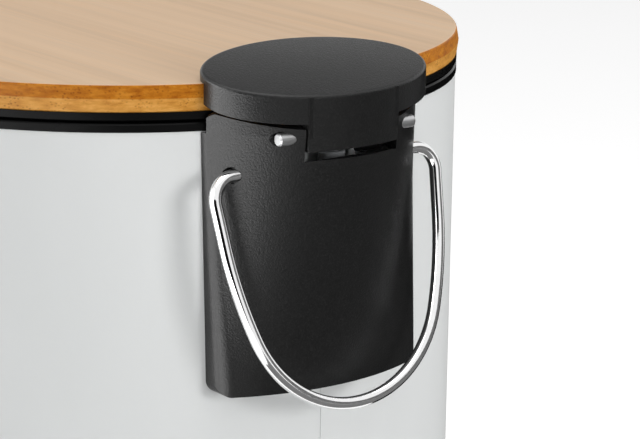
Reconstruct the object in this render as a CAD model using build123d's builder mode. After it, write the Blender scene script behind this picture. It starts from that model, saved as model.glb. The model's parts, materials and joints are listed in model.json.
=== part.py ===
from build123d import *
from math import asin, cos, pi, radians, sin, sqrt, tan, atan
import os

# A three litre pedal bin: white steel body, bamboo lid, black hinge housing, chrome carry handle.
# The floor is z = 0, the body's axis is Z, the hinge is on +Y and the pedal on -Y.
# Heights named "over the rim" are counted from the body's top edge.

os.makedirs("parts", exist_ok=True)

fit_gap = 0.02          # a piece pressed or seated in another
run_gap = 0.08          # a shaft that turns or slides in its hole
body_gap = 0.3          # between pieces that move past each other

# Steel body
body_radius = 85.0
body_wall = 0.5
body_top = 238.0
seam_width = 1.4
seam_depth = 0.2

# Base ring, feet and floor plate
ring_bottom = 2.0
ring_top = 14.0
ring_wall = 1.2
ring_flange = 9.0
ring_floor = 2.0
ring_lip = 4.0
shell_seat = 1.0
foot_radius = 4.5
foot_stem_radius = 1.6
foot_count = 4
base_screw_inset = 5.7  # inside the body's surface
base_screw_turns = (60.0, 120.0, 240.0, 300.0)
base_screw_radius = 1.3
base_screw_head = 2.6
base_screw_head_height = 1.4
base_screw_length = 28.5
base_post_radius = 3.2
plate_height = 28.0
plate_thickness = 1.0
plate_flange = 8.0
plate_flange_wall = 0.8

# Collar on the body's top edge
collar_over = 0.2       # proud of the body
collar_height = 2.1
collar_skirt_wall = 1.5
collar_skirt_depth = 9.0
collar_width = 5.4
collar_inner_wall = 1.2
ledge_depth = 12.0
ledge_thickness = 1.5
ledge_width = 1.8

# Lid, from the closed collar upwards
lid_gap = 0.5
lid_rim_height = 2.0
lid_lip_gap = 0.8
lid_lip_wall = 1.2
lid_lip_depth = 3.6
ply = 3.2
lid_waist_over = 0.6    # the middle of the bamboo's edge, proud of the body
lid_edge_round = 0.7
lid_angle = 80.0        # how far the lid opens
rim_screw_count = 6
rim_screw_inset = 2.8
rim_screw_radius = 1.2
rim_screw_head = 2.2
rim_screw_head_height = 1.2
rim_screw_length = 5.0
bumper_radius = 2.4
bumper_inset = 3.0
bumper_count = 3
bumper_proud = 0.2
bumper_pocket = 1.2

# Hinge pin, behind the body's surface
pin_behind = 9.0
pin_over_rim = -0.8
pin_radius = 1.5
pin_half = 19.4
pin_groove_radius = 1.75
pin_groove_length = 1.6 # of the pin's end that the groove lays bare

# Hinge housing
housing_rear_top = 14.2 # behind the body's surface, at the rim
housing_rear_bottom = 8.1
housing_arc_top = 33.7
housing_arc_bottom = 62.9
housing_half_top = 30.3
housing_half_bottom = 29.0
housing_corner = 4.7    # between rear wall and flank
housing_depth = 60.5    # from the rim down
housing_wall = 2.0
housing_head = 4.7      # its highest level over the rim
housing_top_corner = 3.0
housing_bottom_corner = 2.4
housing_gap = 1.3       # under the cap's skirt
rim_gap = 1.2           # behind collar and lid
notch_gap = 0.4         # beside the tongue
notch_over_rim = -6.1
notch_corner = 0.8
boss_length = 6.5       # pin bosses beside the notch
boss_front = 4.2        # how far they reach in front of the pin
boss_under = 5.5
shelf_over_rim = -15.0  # shelf that guides damper and push rod
shelf_thickness = 2.4
housing_screw_x = 20.0
housing_screw_levels = (-20.0, -50.0)
housing_screw_radius = 1.5
housing_screw_head = 2.8
housing_screw_head_height = 1.8
housing_screw_length = 7.5
housing_screw_boss = 3.4
backplate_thickness = 1.0
backplate_half = 25.0

# Hinge cap on the lid
cap_inset = 3.0         # its middle, in front of the body's rear surface
cap_a = 30.2            # half length across
cap_b = 16.5            # half width, front to rear
cap_slope = 12.6        # degrees, falling to the rear
cap_rim_over = 12.9     # rim plane over the body's rim, at cap_y
skirt_over = 5.84       # skirt's lower plane, at cap_y
cap_wall = 1.6
cap_plate = 2.0
cap_edge_round = 0.8
tongue_half = 12.8
tongue_over_rim = -4.0
hub_radius = 2.3
hub_end_web = 2.0
# screws' places across, and in front of the body's rear surface
cap_screws = ((0.0, 15.0), (-15.0, 12.0), (15.0, 12.0))
cap_screw_radius = 1.4
cap_screw_head = 3.0
cap_screw_head_height = 1.7
cap_screw_bite = 2.2
cap_boss_radius = 3.2

# Push rod and its cam, seen along the pin
rod_x = -8.0
rod_radius = 1.5
rod_cam_radius = 4.4    # lift for each radian of the lid
rod_cam_drop = 6.4      # cam's lowest point under the pin
rod_inset = 4.0
rod_jog_over = -52.0
rod_jog_rise = 8.0
rod_bend = 4.0
cam_width = 4.0
shoe_radius = 2.6
shoe_height = 7.0
shoe_floor = 1.5
guide_levels = (70.0, 150.0)
guide_height = 10.0
guide_half = 5.0

# Damper
damper_radius = 3.2
damper_behind = 0.4
damper_top_over = -6.3
damper_length = 28.0
plunger_radius = 1.3
plunger_length = 22.0
plunger_head_radius = 2.6
plunger_head = 0.6
damper_cam_radius = 3.2
damper_cam_drop = 4.5
cradle_half = 5.0
cradle_height = 7.0
cradle_floor = 2.0
cradle_wall = 0.8

# Carry handle
wire_radius = 1.5
bail_behind = 1.3       # its pivots, behind the body's surface
bail_over_rim = -9.6
bail_lean = 14.4        # degrees from hanging straight
bail_drop = 56.5        # pivot to the wire's lowest centre line
bail_bottom_radius = 27.5
bail_bottom_turn = 70.7
bail_side_radius = 95.2
bail_splay = 5.5        # degrees, the straight legs
bail_corner = 5.6
bail_end_x = 17.8
bail_mouth_radius = 2.0 # the hole's wide mouth, which the bend turns in
bail_boss_radius = 3.2
retainer_radius = 2.6
retainer_thickness = 0.8
retainer_x = 18.6

# Pedal
pivot_y = 20.0
pivot_z = 17.0
pivot_radius = 2.0
pivot_head_radius = 3.4
pivot_head = 1.4
lever_half = 7.0
lever_thickness = 2.5
lever_z = 19.0
lever_reach = 16.0      # in front of the body
lever_end_half = 12.0
lever_end_length = 8.0
ear_drop = 6.0
ear_wall = 1.6
bracket_half = 12.0
bracket_wall = 1.2
bracket_length = 24.0
pad_half = 24.0
pad_reach = 19.5        # in front of the body
pad_gap = 2.5
pad_height = 6.5
pad_bow = 6.0           # how far its front edge is rounded
pad_ribs = 5
pad_rib_height = 0.7
pedal_slot_half = 12.0
pedal_slot_top = 25.0
rivet_radius = 1.5
rivet_head = 2.8
rivet_head_height = 1.2

# Bucket
bucket_wall = 1.4
bucket_bottom = 33.0
bucket_rim_gap = 0.5
bucket_rim_width = 4.0
bucket_taper = 11.3     # radius at the mouth less radius at the foot
bucket_rim_thickness = 1.5
bucket_corner = 6.0
bucket_wire = 1.25
ear_half = 4.5
ear_inset = 4.3
ear_thickness = 1.6
ear_height = 4.6
handle_inset = 1.8
handle_corner = 2.0

# Places that follow from the sizes above
shell_bottom = ring_bottom + ring_floor + shell_seat
body_bore = body_radius - body_wall
pin_z = body_top + pin_over_rim
collar_radius = body_radius + collar_over
collar_bore = collar_radius - collar_width
base_screw_ring = body_radius - base_screw_inset
lid_bottom = body_top + collar_height + lid_gap
lid_waist_radius = body_radius + lid_waist_over
lid_rim_bore = collar_bore - lid_lip_gap - lid_lip_wall
rim_screw_ring = body_radius - rim_screw_inset
bumper_ring = body_radius - bumper_inset
bamboo_bottom = lid_bottom + lid_rim_height
bamboo_middle = bamboo_bottom + ply
bamboo_top = bamboo_middle + ply
housing_bottom = body_top - housing_depth
housing_top = body_top + 12.0
cap_y = body_radius - cap_inset
cap_rear = cap_y + cap_b
cap_screw_places = [(x, body_radius - inset) for x, inset in cap_screws]
pin_y = body_radius + pin_behind
bail_y = body_radius + bail_behind
bail_z = body_top + bail_over_rim
lid_turn = radians(lid_angle)
rod_lift = rod_cam_radius * lid_turn
rod_y = pin_y - rod_cam_radius
rod_tip = pin_z - rod_cam_drop - body_gap
rod_bottom = lever_z + lever_thickness + body_gap + shoe_floor
rod_inner_y = body_radius - rod_inset
damper_y = body_radius + damper_behind + damper_radius
damper_top = body_top + damper_top_over
plunger_top = pin_z - damper_cam_drop - body_gap
pedal_turn = asin(rod_lift / (rod_inner_y - pivot_y))
lever_front = -body_radius - lever_reach
pad_front = -body_radius - pad_reach
pad_rear = -body_radius - pad_gap
bucket_rim_radius = collar_bore - bucket_rim_gap
bucket_mouth_radius = bucket_rim_radius - bucket_rim_width
bucket_foot_radius = bucket_mouth_radius - bucket_taper
ear_inner = bucket_rim_radius - ear_inset
handle_sweep_radius = ear_inner - handle_inset
backplate_bore = body_bore - backplate_thickness
screw_seat = sqrt(backplate_bore**2 - (housing_screw_x + housing_screw_head) ** 2) - fit_gap
rim_plane = Plane(
    origin=(0, cap_y, body_top + cap_rim_over),
    x_dir=(1, 0, 0),
    z_dir=(0, sin(radians(cap_slope)), cos(radians(cap_slope))),
)
skirt_plane = Plane(
    origin=(0, cap_y, body_top + skirt_over),
    x_dir=(1, 0, 0),
    z_dir=(0, sin(radians(cap_slope)), cos(radians(cap_slope))),
)
bail_plane = Plane(
    origin=(0, bail_y, bail_z),
    x_dir=(1, 0, 0),
    z_dir=(0, -cos(radians(bail_lean)), -sin(radians(bail_lean))),
)
splay = radians(bail_splay)
bottom_turn = radians(bail_bottom_turn)
side_turn = 90 - bail_splay - bail_bottom_turn
knee_y = (-bail_drop + bail_bottom_radius * (1 - cos(bottom_turn))
          + bail_side_radius * (cos(bottom_turn) - sin(splay)))
leg_length = (-bail_corner * (1 + sin(splay)) - knee_y) / cos(splay)
knee_x = (bail_bottom_radius * sin(bottom_turn)
          + bail_side_radius * (cos(splay) - sin(bottom_turn)))
bail_bend_x = knee_x + leg_length * sin(splay) - bail_corner * cos(splay)
reach = 120.0           # longer than anything that is cut through


def save(piece, name):
    """Label one finished piece and write its file."""
    piece.part.label = name
    export_step(piece.part, f"parts/{name}.step")


def polar_places(count, ring, first=0.0):
    """Places around the body's axis, as (x, y) pairs, counted from +Y."""
    turns = [radians(first + 360.0 * i / count) for i in range(count)]
    return [(ring * sin(t), ring * cos(t)) for t in turns]


def housing_outline(level, inset=0.0):
    """Plan of the housing: a rounded rear wall and two flanks that run on into the body."""
    share = min((body_top - level) / housing_depth, 1.0)
    rear = body_radius + housing_rear_top + (housing_rear_bottom - housing_rear_top) * share - inset
    arc = housing_arc_top + (housing_arc_bottom - housing_arc_top) * share - inset
    half = housing_half_top + (housing_half_bottom - housing_half_top) * share - inset
    side_y = rear - arc + sqrt(arc**2 - half**2)
    with BuildSketch(Plane.XY.offset(level)) as outline:
        with BuildLine():
            Polyline((half, side_y), (half, cap_y - cap_b), (-half, cap_y - cap_b), (-half, side_y))
            ThreePointArc((-half, side_y), (0, rear), (half, side_y))
        make_face()
        fillet(outline.vertices().group_by(Axis.Y)[-1], housing_corner - inset)
    return outline.sketch


# Steel body: a rolled tube with its seam at the rear
with BuildPart() as body_shell:
    with BuildSketch(Plane.XY.offset(shell_bottom)):
        Circle(body_radius)
        Circle(body_bore, mode=Mode.SUBTRACT)
        with Locations((0, body_radius)):
            Rectangle(seam_width, 2 * seam_depth, mode=Mode.SUBTRACT)
    extrude(amount=body_top - shell_bottom)
    slot_low = body_top + rod_jog_over - 2 * rod_radius
    slot_high = body_top + rod_jog_over + rod_jog_rise + rod_lift + 2 * rod_radius
    with BuildSketch(Plane.XZ.offset(-body_bore + 6)):
        with Locations((rod_x, (slot_low + slot_high) / 2)):
            SlotOverall(slot_high - slot_low, 2 * rod_radius + 2, rotation=90)
        for level in housing_screw_levels:
            with Locations((-housing_screw_x, body_top + level), (housing_screw_x, body_top + level)):
                Circle(housing_screw_radius + run_gap)
    extrude(amount=-12, mode=Mode.SUBTRACT)
    with BuildSketch(Plane.XZ.offset(body_bore - 12)):
        with Locations((0, (shell_bottom + pedal_slot_top) / 2)):
            Rectangle(2 * pedal_slot_half, pedal_slot_top - shell_bottom + 0.2)
    extrude(amount=20, mode=Mode.SUBTRACT)
save(body_shell, "body_shell")

# Base ring: holds the body's lower edge in a groove
with BuildPart() as base_ring:
    ring_inner = body_bore - fit_gap
    ring_outer = body_radius + fit_gap
    with BuildSketch(Plane.XZ):
        with BuildLine():
            Polyline(
                (ring_inner - ring_flange, ring_bottom),
                (ring_outer + ring_wall, ring_bottom),
                (ring_outer + ring_wall, ring_top - 1),
                (ring_outer + ring_wall - 0.5, ring_top),
                (ring_outer, ring_top),
                (ring_outer, shell_bottom),
                (ring_inner, shell_bottom),
                (ring_inner, shell_bottom + ring_lip),
                (ring_inner - ring_wall, shell_bottom + ring_lip),
                (ring_inner - ring_wall, ring_bottom + ring_floor),
                (ring_inner - ring_flange, ring_bottom + ring_floor),
                close=True,
            )
        make_face()
    revolve(axis=Axis.Z)
    with BuildSketch(Plane.XZ.offset(body_radius - ring_flange - 6)):
        with Locations((0, (shell_bottom + ring_top + 1) / 2)):
            Rectangle(2 * pedal_slot_half, ring_top + 1 - shell_bottom)
    extrude(amount=ring_flange + 12, mode=Mode.SUBTRACT)
    # posts that carry the floor plate
    base_screw_places = [polar_places(1, base_screw_ring, turn)[0] for turn in base_screw_turns]
    with BuildSketch(Plane.XY.offset(ring_bottom)):
        with Locations(*base_screw_places):
            Circle(base_post_radius)
    extrude(amount=plate_height - ring_bottom)
    with BuildSketch(Plane.XY.offset(ring_bottom)):
        with Locations(*base_screw_places):
            Circle(base_screw_head + fit_gap)
    extrude(amount=base_screw_head_height, mode=Mode.SUBTRACT)
    with BuildSketch(Plane.XY.offset(ring_bottom)):
        with Locations(*base_screw_places):
            Circle(base_screw_radius + fit_gap)
    extrude(amount=plate_height - ring_bottom, mode=Mode.SUBTRACT)
    foot_ring = ring_inner - ring_flange / 2
    with BuildSketch(Plane.XY.offset(ring_bottom)):
        with Locations(*polar_places(foot_count, foot_ring, 45)):
            Circle(foot_stem_radius + fit_gap)
    extrude(amount=ring_floor, mode=Mode.SUBTRACT)
save(base_ring, "base_ring")

# Rubber feet, pushed into the base ring
with BuildPart() as non_slip_feet:
    with BuildSketch(Plane.XY):
        with Locations(*polar_places(foot_count, foot_ring, 45)):
            Circle(foot_radius)
    extrude(amount=ring_bottom, taper=8)
    with BuildSketch(Plane.XY.offset(ring_bottom)):
        with Locations(*polar_places(foot_count, foot_ring, 45)):
            Circle(foot_stem_radius)
    extrude(amount=ring_floor)
save(non_slip_feet, "non_slip_feet")

# Floor plate: a flanged disc inside the body, cut away where lever and rod pass
with BuildPart() as base_plate:
    plate_radius = body_bore - fit_gap
    with BuildSketch(Plane.XY.offset(plate_height - plate_flange)):
        Circle(plate_radius)
    extrude(amount=plate_flange + plate_thickness)
    with BuildSketch(Plane.XY.offset(plate_height - plate_flange)):
        Circle(plate_radius - plate_flange_wall)
    extrude(amount=plate_flange, mode=Mode.SUBTRACT)
    with BuildSketch(Plane.XY.offset(plate_height - plate_flange)):
        lever_clears = pivot_y + (plate_height - lever_z - lever_thickness - 2) / tan(pedal_turn)
        opening_from = min(lever_clears, rod_inner_y - lever_end_length - 1)
        with Locations((0, plate_radius)):
            Rectangle(2 * (lever_end_half + 2), 2 * (plate_radius - opening_from))
        with Locations((0, -plate_radius)):
            Rectangle(2 * pedal_slot_half, 6)
    extrude(amount=plate_flange + plate_thickness, mode=Mode.SUBTRACT)
    rivet_places = ((-6, pivot_y - 7), (6, pivot_y - 7), (-6, pivot_y + 7), (6, pivot_y + 7))
    with BuildSketch(Plane.XY.offset(plate_height)):
        with Locations(*rivet_places):
            Circle(rivet_radius + fit_gap)
        with Locations(*base_screw_places):
            Circle(base_screw_radius + fit_gap)
    extrude(amount=plate_thickness, mode=Mode.SUBTRACT)
    # pressed stiffening ring
    with BuildSketch(Plane.XY.offset(plate_height + plate_thickness)):
        Circle(plate_radius - 18)
        Circle(plate_radius - 24, mode=Mode.SUBTRACT)
    extrude(amount=0.8)
save(base_plate, "base_plate")

# Screws up through the ring's posts into the floor plate
with BuildPart() as base_screws:
    for place in base_screw_places:
        with BuildSketch(Plane.XY.offset(ring_bottom)):
            with Locations(place):
                Circle(base_screw_head)
        extrude(amount=base_screw_head_height)
        with BuildSketch(Plane.XY.offset(ring_bottom + base_screw_head_height)):
            with Locations(place):
                Circle(base_screw_radius)
        extrude(amount=base_screw_length - base_screw_head_height)
save(base_screws, "base_screws")

# Pedal bracket: a steel channel riveted under the floor plate
with BuildPart() as pedal_bracket:
    with BuildSketch(Plane.XZ.offset(-pivot_y + bracket_length / 2)):
        with BuildLine():
            Polyline(
                (-bracket_half, pivot_z - 4.5),
                (-bracket_half, plate_height),
                (bracket_half, plate_height),
                (bracket_half, pivot_z - 4.5),
                (bracket_half - bracket_wall, pivot_z - 4.5),
                (bracket_half - bracket_wall, plate_height - bracket_wall),
                (-bracket_half + bracket_wall, plate_height - bracket_wall),
                (-bracket_half + bracket_wall, pivot_z - 4.5),
                close=True,
            )
        make_face()
    extrude(amount=-bracket_length)
    with BuildSketch(Plane.YZ.offset(-bracket_half - 1)):
        with Locations((pivot_y, pivot_z)):
            Circle(pivot_radius + fit_gap)
    extrude(amount=2 * bracket_half + 2, mode=Mode.SUBTRACT)
    with BuildSketch(Plane.XY.offset(plate_height - bracket_wall)):
        with Locations(*rivet_places):
            Circle(rivet_radius + fit_gap)
    extrude(amount=bracket_wall, mode=Mode.SUBTRACT)
    sides = pedal_bracket.edges().filter_by(Axis.X).group_by(Axis.Z)[0]
    fillet(sides, 4.0)
save(pedal_bracket, "pedal_bracket")

# Rivets that hold the bracket
with BuildPart() as bracket_rivets:
    rivet_shank = plate_thickness + bracket_wall
    for x, y in rivet_places:
        with BuildSketch(Plane.XY.offset(plate_height - bracket_wall)):
            with Locations((x, y)):
                Circle(rivet_radius)
        extrude(amount=rivet_shank)
        for level, side in ((plate_height + plate_thickness, 1), (plate_height - bracket_wall, -1)):
            with BuildSketch(Plane.XY.offset(level)):
                with Locations((x, y)):
                    Circle(rivet_head)
            extrude(amount=side * rivet_head_height, taper=25)
save(bracket_rivets, "bracket_rivets")

# Pivot pin of the pedal
with BuildPart() as pedal_pivot_pin:
    with BuildSketch(Plane.YZ.offset(-bracket_half - 1.5)):
        with Locations((pivot_y, pivot_z)):
            Circle(pivot_radius)
    extrude(amount=2 * bracket_half + 3)
    with BuildSketch(Plane.YZ.offset(bracket_half)):
        with Locations((pivot_y, pivot_z)):
            Circle(pivot_head_radius)
    extrude(amount=pivot_head)
    with BuildSketch(Plane.YZ.offset(-bracket_half)):
        with Locations((pivot_y, pivot_z)):
            Circle(pivot_head_radius)
    extrude(amount=-pivot_head)
save(pedal_pivot_pin, "pedal_pivot_pin")

# Pedal lever: a pressed strip with two ears on the pin and a wide end under the rod
with BuildPart() as pedal_lever:
    lever_rear = rod_inner_y + 1.0
    with BuildSketch(Plane.XY.offset(lever_z)):
        with Locations((0, (lever_front + lever_rear) / 2)):
            Rectangle(2 * lever_half, lever_rear - lever_front)
        with Locations((0, lever_rear - lever_end_length / 2)):
            Rectangle(2 * lever_end_half, lever_end_length)
    extrude(amount=lever_thickness)
    corners = pedal_lever.edges().filter_by(Axis.Z).group_by(Axis.Y)[-1]
    fillet(corners, 2.0)
    for side in (-1, 1):
        with BuildSketch(Plane.YZ.offset(side * lever_half)):
            with BuildLine():
                low = pivot_z - ear_drop + 2
                Polyline(
                    (pivot_y - 9, lever_z),
                    (pivot_y - 4, low),
                    (pivot_y + 4, low),
                    (pivot_y + 9, lever_z),
                    close=True,
                )
            make_face()
        extrude(amount=-side * ear_wall)
    with BuildSketch(Plane.YZ.offset(-lever_half - 1)):
        with Locations((pivot_y, pivot_z)):
            Circle(pivot_radius + run_gap)
    extrude(amount=2 * lever_half + 2, mode=Mode.SUBTRACT)
    # pressed rib along the strip
    with BuildSketch(Plane.XY.offset(lever_z + lever_thickness)):
        with Locations((0, -30)):
            SlotOverall(80, 5, rotation=90)
    extrude(amount=0.8, taper=20)
save(pedal_lever, "pedal_lever")

# Pedal tread, pushed over the lever's front end
with BuildPart() as pedal_pad:
    pad_bottom = lever_z - 2.0
    with BuildSketch(Plane.XY.offset(pad_bottom)) as tread:
        with BuildLine():
            side_front = pad_front + pad_bow
            Polyline((pad_half, pad_rear), (-pad_half, pad_rear), (-pad_half, side_front))
            ThreePointArc((-pad_half, side_front), (0, pad_front), (pad_half, side_front))
            Line((pad_half, side_front), (pad_half, pad_rear))
        make_face()
        fillet(tread.vertices(), 3.0)
    extrude(amount=pad_height)
    fillet(pedal_pad.edges().group_by(Axis.Z)[-1], 1.5)
    with BuildSketch(Plane.XZ.offset(-pad_rear - 1)):
        with Locations((0, lever_z + lever_thickness / 2)):
            Rectangle(2 * (lever_half + fit_gap), lever_thickness + 2 * fit_gap)
    extrude(amount=pad_rear - lever_front + 1 + fit_gap, mode=Mode.SUBTRACT)
    pad_step = (pad_rear - pad_front - 10) / (pad_ribs - 1)
    with BuildSketch(Plane.XY.offset(pad_bottom + pad_height - 0.2)):
        for i in range(pad_ribs):
            with Locations((0, pad_rear - 4 - i * pad_step)):
                SlotOverall(2 * pad_half - 12, 1.6)
    extrude(amount=pad_rib_height + 0.2)
save(pedal_pad, "pedal_pad")

# Push rod: up inside the body, out through the slot, up under the cam
with BuildPart() as push_rod:
    jog = body_top + rod_jog_over
    with BuildLine() as rod_path:
        FilletPolyline(
            (rod_x, rod_inner_y, rod_bottom),
            (rod_x, rod_inner_y, jog),
            (rod_x, rod_y, jog + rod_jog_rise),
            (rod_x, rod_y, rod_tip),
            radius=rod_bend,
        )
    with BuildSketch(Plane.XY.offset(rod_bottom)):
        with Locations((rod_x, rod_inner_y)):
            Circle(rod_radius)
    sweep(path=rod_path.wires()[0])
save(push_rod, "push_rod")

# Shoe on the rod's lower end
with BuildPart() as push_rod_shoe:
    shoe_bottom = rod_bottom - shoe_floor
    with BuildSketch(Plane.XY.offset(shoe_bottom)):
        with Locations((rod_x, rod_inner_y)):
            Circle(shoe_radius)
    extrude(amount=shoe_height)
    fillet(push_rod_shoe.edges().group_by(Axis.Z)[0], 0.8)
    with BuildSketch(Plane.XY.offset(rod_bottom)):
        with Locations((rod_x, rod_inner_y)):
            Circle(rod_radius + fit_gap)
    extrude(amount=shoe_height, mode=Mode.SUBTRACT)
save(push_rod_shoe, "push_rod_shoe")

# Guides that hold the rod to the body's wall
with BuildPart() as rod_guides:
    for level in guide_levels:
        with BuildSketch(Plane.XY.offset(level)):
            with Locations((rod_x, body_bore - 3)):
                Rectangle(2 * guide_half, 2 * (body_bore - 3 - rod_inner_y + rod_radius + 1))
            Circle(body_bore - fit_gap, mode=Mode.INTERSECT)
            with Locations((rod_x, rod_inner_y)):
                Circle(rod_radius + run_gap, mode=Mode.SUBTRACT)
        extrude(amount=guide_height)
save(rod_guides, "rod_guides")

# Collar: clips over the body's top edge and carries the bucket on an inner ledge
with BuildPart() as top_collar:
    skirt_outer = body_bore - fit_gap
    skirt_inner = skirt_outer - collar_skirt_wall
    with BuildSketch(Plane.XZ):
        with BuildLine():
            Polyline(
                (collar_radius, body_top),
                (collar_radius, body_top + collar_height - 0.4),
                (collar_radius - 0.4, body_top + collar_height),
                (collar_bore, body_top + collar_height),
                (collar_bore, body_top - ledge_depth),
                (collar_bore - ledge_width, body_top - ledge_depth),
                (collar_bore - ledge_width, body_top - ledge_depth - ledge_thickness),
                (collar_bore + collar_inner_wall, body_top - ledge_depth - ledge_thickness),
                (collar_bore + collar_inner_wall, body_top),
                (skirt_inner, body_top),
                (skirt_inner, body_top - collar_skirt_depth),
                (skirt_outer, body_top - collar_skirt_depth),
                (skirt_outer, body_top),
                close=True,
            )
        make_face()
    revolve(axis=Axis.Z)
save(top_collar, "top_collar")

# Space inside the housing, less its bosses, shelf and ribs
with BuildPart() as housing_space:
    rim_outline = housing_outline(body_top, housing_wall)
    loft([housing_outline(housing_bottom + housing_wall, housing_wall), rim_outline], ruled=True)
    extrude(to_extrude=rim_outline, amount=housing_top - body_top)
    # bosses that hold the hinge pin
    boss_inner = tongue_half + notch_gap
    for side in (-1, 1):
        with BuildSketch(Plane.YZ.offset(side * boss_inner)):
            with Locations((pin_y - boss_front, pin_z - boss_under)):
                Rectangle(30, 30, align=(Align.MIN, Align.MIN))
        extrude(amount=side * boss_length, mode=Mode.SUBTRACT)
    # shelf around damper and push rod
    with BuildSketch(Plane.XY.offset(body_top + shelf_over_rim)):
        with Locations(((rod_x + damper_radius) / 2 - 1, damper_y)):
            Rectangle(26, 40)
        with Locations((0, damper_y)):
            Circle(damper_radius + fit_gap, mode=Mode.SUBTRACT)
        with Locations((rod_x, rod_y)):
            Circle(rod_radius + run_gap, mode=Mode.SUBTRACT)
    extrude(amount=shelf_thickness, mode=Mode.SUBTRACT)
    # screw bosses
    for level in housing_screw_levels:
        with BuildSketch(Plane.XZ.offset(-body_radius + 10)):
            with Locations((-housing_screw_x, body_top + level), (housing_screw_x, body_top + level)):
                Circle(housing_screw_boss)
        extrude(amount=-40, mode=Mode.SUBTRACT)
    # bosses inside the flanks for the carry handle's ends
    for side in (-1, 1):
        with BuildSketch(Plane.YZ.offset(side * (retainer_x + retainer_thickness + body_gap))):
            with Locations((bail_y, bail_z)):
                Circle(bail_boss_radius)
        extrude(amount=side * 12, mode=Mode.SUBTRACT)
    # upright ribs between body and rear wall
    for x in (-25, 25):
        with BuildSketch(Plane.XY.offset(housing_bottom)):
            with Locations((x, body_radius)):
                Rectangle(1.4, 20)
        extrude(amount=housing_depth - 30, mode=Mode.SUBTRACT)

# Hinge housing
with BuildPart() as hinge_housing:
    loft([housing_outline(housing_bottom), housing_outline(body_top)], ruled=True)
    extrude(to_extrude=housing_outline(body_top), amount=housing_top - body_top)
    # rounded corners as seen from behind
    head = body_top + housing_head
    with BuildSketch(Plane.XZ.offset(-body_radius)) as rear_view:
        with BuildLine():
            Polyline((-housing_half_bottom, housing_bottom), (housing_half_bottom, housing_bottom),
                     (housing_half_top, body_top), (housing_half_top, head), (-housing_half_top, head),
                     (-housing_half_top, body_top), close=True)
        make_face()
        fillet(rear_view.vertices().group_by(Axis.Y)[-1], housing_top_corner)
        fillet(rear_view.vertices().group_by(Axis.Y)[0], housing_bottom_corner)
    extrude(amount=reach, both=True, mode=Mode.INTERSECT)
    # top edge follows the cap's skirt
    with BuildSketch(skirt_plane.offset(-housing_gap)):
        Rectangle(reach, reach)
    extrude(amount=reach / 2, mode=Mode.SUBTRACT)
    # against the body, and clear of the collar and the lid
    with BuildSketch(Plane.XY.offset(housing_bottom)):
        Circle(body_radius + fit_gap)
    extrude(amount=housing_depth + 20, mode=Mode.SUBTRACT)
    with BuildSketch(Plane.XY.offset(body_top - body_gap)):
        Circle(collar_radius + rim_gap)
    extrude(amount=20, mode=Mode.SUBTRACT)
    add(housing_space.part, mode=Mode.SUBTRACT)
    # notch for the cap's tongue, with a hollow under it for the tongue's turn
    edge = tongue_half + notch_gap
    with BuildSketch(Plane.XZ.offset(-pin_y + 9)) as notch:
        with Locations((0, body_top + notch_over_rim)):
            Rectangle(2 * edge, housing_top - body_top - notch_over_rim, align=(Align.CENTER, Align.MIN))
        fillet(notch.vertices().group_by(Axis.Y)[0], notch_corner)
    extrude(amount=-30, mode=Mode.SUBTRACT)
    tongue_turn = sqrt((cap_rear - pin_y) ** 2 + (pin_over_rim - tongue_over_rim) ** 2)
    with BuildSketch(Plane.YZ.offset(-edge)):
        with Locations((pin_y, pin_z)):
            Circle(tongue_turn + body_gap + 0.1)
    extrude(amount=2 * edge, mode=Mode.SUBTRACT)
    # pin bore, opening through the rounded wall past the pin's ends
    with BuildSketch(Plane.YZ.offset(-pin_half)):
        with Locations((pin_y, pin_z)):
            Circle(pin_radius + fit_gap)
    extrude(amount=2 * pin_half, mode=Mode.SUBTRACT)
    for side in (-1, 1):
        with BuildSketch(Plane.YZ.offset(side * (pin_half - pin_groove_length))):
            with Locations((pin_y, pin_z)):
                Circle(pin_groove_radius)
        extrude(amount=side * 20, mode=Mode.SUBTRACT)
        # holes for the carry handle, wide where its bend begins
        with BuildSketch(Plane.YZ.offset(side * bail_end_x)):
            with Locations((bail_y, bail_z)):
                Circle(wire_radius + run_gap)
        extrude(amount=side * 20, mode=Mode.SUBTRACT)
        with BuildSketch(Plane.YZ.offset(side * (bail_bend_x - body_gap))):
            with Locations((bail_y, bail_z)):
                Circle(bail_mouth_radius)
        extrude(amount=side * 20, mode=Mode.SUBTRACT)
    # screw holes from the body's side
    for level in housing_screw_levels:
        with BuildSketch(Plane.XZ.offset(-body_radius + 10)):
            with Locations((-housing_screw_x, body_top + level), (housing_screw_x, body_top + level)):
                Circle(housing_screw_radius + fit_gap)
        extrude(amount=screw_seat + housing_screw_length + body_gap - body_radius + 10, dir=(0, 1, 0),
                mode=Mode.SUBTRACT)
save(hinge_housing, "hinge_housing")

# Plate inside the body under the screw heads
with BuildPart() as housing_backplate:
    back_low = body_top + housing_screw_levels[-1] - 8
    back_high = body_top + housing_screw_levels[0] + 7
    with BuildSketch(Plane.XY.offset(back_low)):
        Circle(body_bore - fit_gap)
        Circle(backplate_bore - fit_gap, mode=Mode.SUBTRACT)
        with Locations((0, body_bore)):
            Rectangle(2 * backplate_half, 40, mode=Mode.INTERSECT)
    extrude(amount=back_high - back_low)
    with BuildSketch(Plane.XZ.offset(-body_bore + 8)):
        with Locations((rod_x, (slot_low + slot_high) / 2)):
            SlotOverall(slot_high - slot_low, 2 * rod_radius + 2, rotation=90)
        for level in housing_screw_levels:
            with Locations((-housing_screw_x, body_top + level), (housing_screw_x, body_top + level)):
                Circle(housing_screw_radius + run_gap)
    extrude(amount=-14, mode=Mode.SUBTRACT)
save(housing_backplate, "housing_backplate")

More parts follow.
